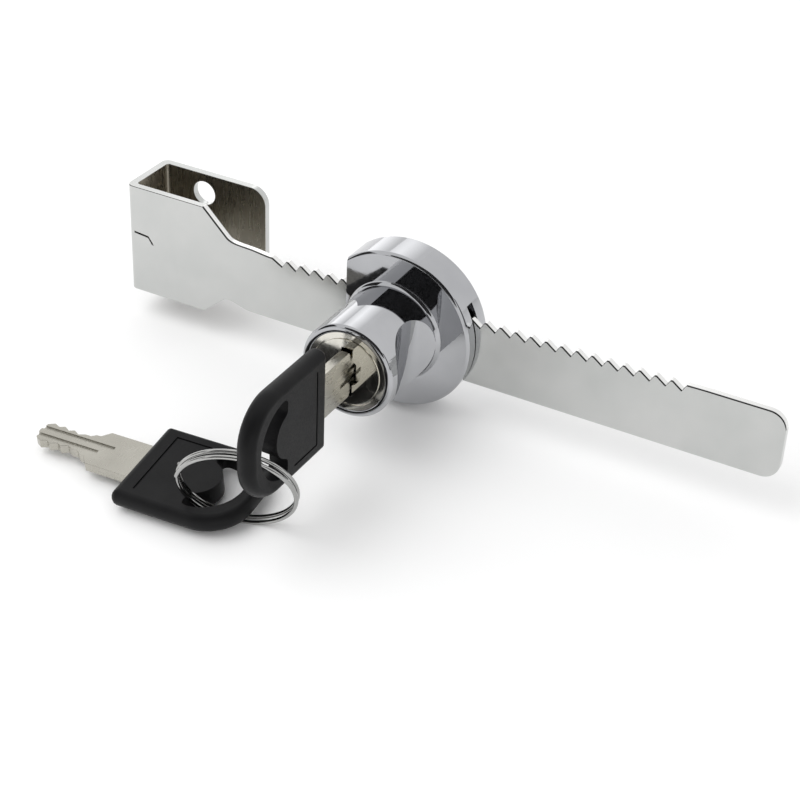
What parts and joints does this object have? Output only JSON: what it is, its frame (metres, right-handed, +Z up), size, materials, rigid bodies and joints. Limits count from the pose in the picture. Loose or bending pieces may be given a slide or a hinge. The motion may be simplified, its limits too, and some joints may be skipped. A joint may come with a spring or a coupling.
{
  "type": "glass cabinet door lock",
  "caption": "Ratchet lock for sliding glass doors: toothed strip with glass hook, sliding round lock, plug, pawl, key in place and spare key on a split ring.",
  "frame": {"origin": "centre of the flange's rear face, which rests on the glass, on the barrel's axis", "axes": "+X along the strip to its free tip, +Y into the glass, away from the keyhole, +Z up, the way the teeth point"},
  "size_m": [0.1358, 0.067, 0.0372],
  "materials": {
    "strip_steel": "bright polished steel, fine lengthways grain",
    "chrome_casting": "mirror chrome on a die casting",
    "zinc_steel": "zinc plated, satin",
    "nickel": "satin nickel plate",
    "spring_wire": "drawn spring wire",
    "ring_wire": "bright nickel plated wire",
    "black_plastic": "fine matte moulding",
    "wafer_brass": "stamped brass"
  },
  "bodies": {
    "ratchet": {"ratchet_strip": "strip_steel"},
    "lock": {"lock_body": "chrome_casting", "rear_cover": "zinc_steel", "cover_screws": "zinc_steel", "pawl_spring": "spring_wire"},
    "plug": {"plug": "nickel", "cam": "zinc_steel", "cam_screw": "zinc_steel", "wafer_springs": "spring_wire"},
    "pawl": {"pawl": "zinc_steel"},
    "key_1": {"key_blade": "nickel", "key_head": "black_plastic"},
    "ring": {"split_ring": "ring_wire"},
    "spare_key": {"spare_key_blade": "nickel", "spare_key_head": "black_plastic"},
    "wafer_1": {"wafer_1": "wafer_brass"},
    "wafer_2": {"wafer_2": "wafer_brass"},
    "wafer_3": {"wafer_3": "wafer_brass"},
    "wafer_4": {"wafer_4": "wafer_brass"},
    "wafer_5": {"wafer_5": "wafer_brass"}
  },
  "joints": [
    {"name": "body_slide", "type": "slide", "parent": "ratchet", "child": "lock", "axis": [1, 0, 0], "range_m": [-0.021, 0.093]},
    {"name": "plug_turn", "type": "hinge", "parent": "lock", "child": "plug", "pos_m": [0, 0, 0], "axis": [0, 1, 0], "range_deg": [0, 90]},
    {"name": "pawl_drop", "type": "slide", "parent": "lock", "child": "pawl", "axis": [0, 0, 1], "range_m": [-0.0017, 0], "deforming": ["pawl_spring"]},
    {"name": "key_pull", "type": "slide", "parent": "plug", "child": "key_1", "axis": [0, -1, 0], "range_m": [0, 0.03]},
    {"name": "ring_swing", "type": "hinge", "parent": "key_1", "child": "ring", "pos_m": [0, -0.052, -0.00268], "axis": [-0.7612, -0.4585, 0.4587], "range_deg": [-40, 20]},
    {"name": "spare_swing", "type": "hinge", "parent": "ring", "child": "spare_key", "pos_m": [-0.01349, -0.05024, -0.01847], "axis": [0.6237, 0.4764, -0.6197], "range_deg": [-30, 30]},
    {"name": "wafer_1_slide", "type": "slide", "parent": "plug", "child": "wafer_1", "axis": [0, 0, 1], "range_m": [-0.00045, 0]},
    {"name": "wafer_2_slide", "type": "slide", "parent": "plug", "child": "wafer_2", "axis": [0, 0, 1], "range_m": [0, 0.00045]},
    {"name": "wafer_3_slide", "type": "slide", "parent": "plug", "child": "wafer_3", "axis": [0, 0, 1], "range_m": [-0.00045, 0]},
    {"name": "wafer_4_slide", "type": "slide", "parent": "plug", "child": "wafer_4", "axis": [0, 0, 1], "range_m": [0, 0.00045]},
    {"name": "wafer_5_slide", "type": "slide", "parent": "plug", "child": "wafer_5", "axis": [0, 0, 1], "range_m": [-0.00045, 0]}
  ],
  "couplings": [
    {"joint": "pawl_drop", "follows": "plug_turn", "m_per_rad": -0.0010823},
    {"joint": "wafer_1_slide", "follows": "key_pull", "ratio": -0.015},
    {"joint": "wafer_2_slide", "follows": "key_pull", "ratio": 0.015},
    {"joint": "wafer_3_slide", "follows": "key_pull", "ratio": -0.015},
    {"joint": "wafer_4_slide", "follows": "key_pull", "ratio": 0.015},
    {"joint": "wafer_5_slide", "follows": "key_pull", "ratio": -0.015}
  ]
}
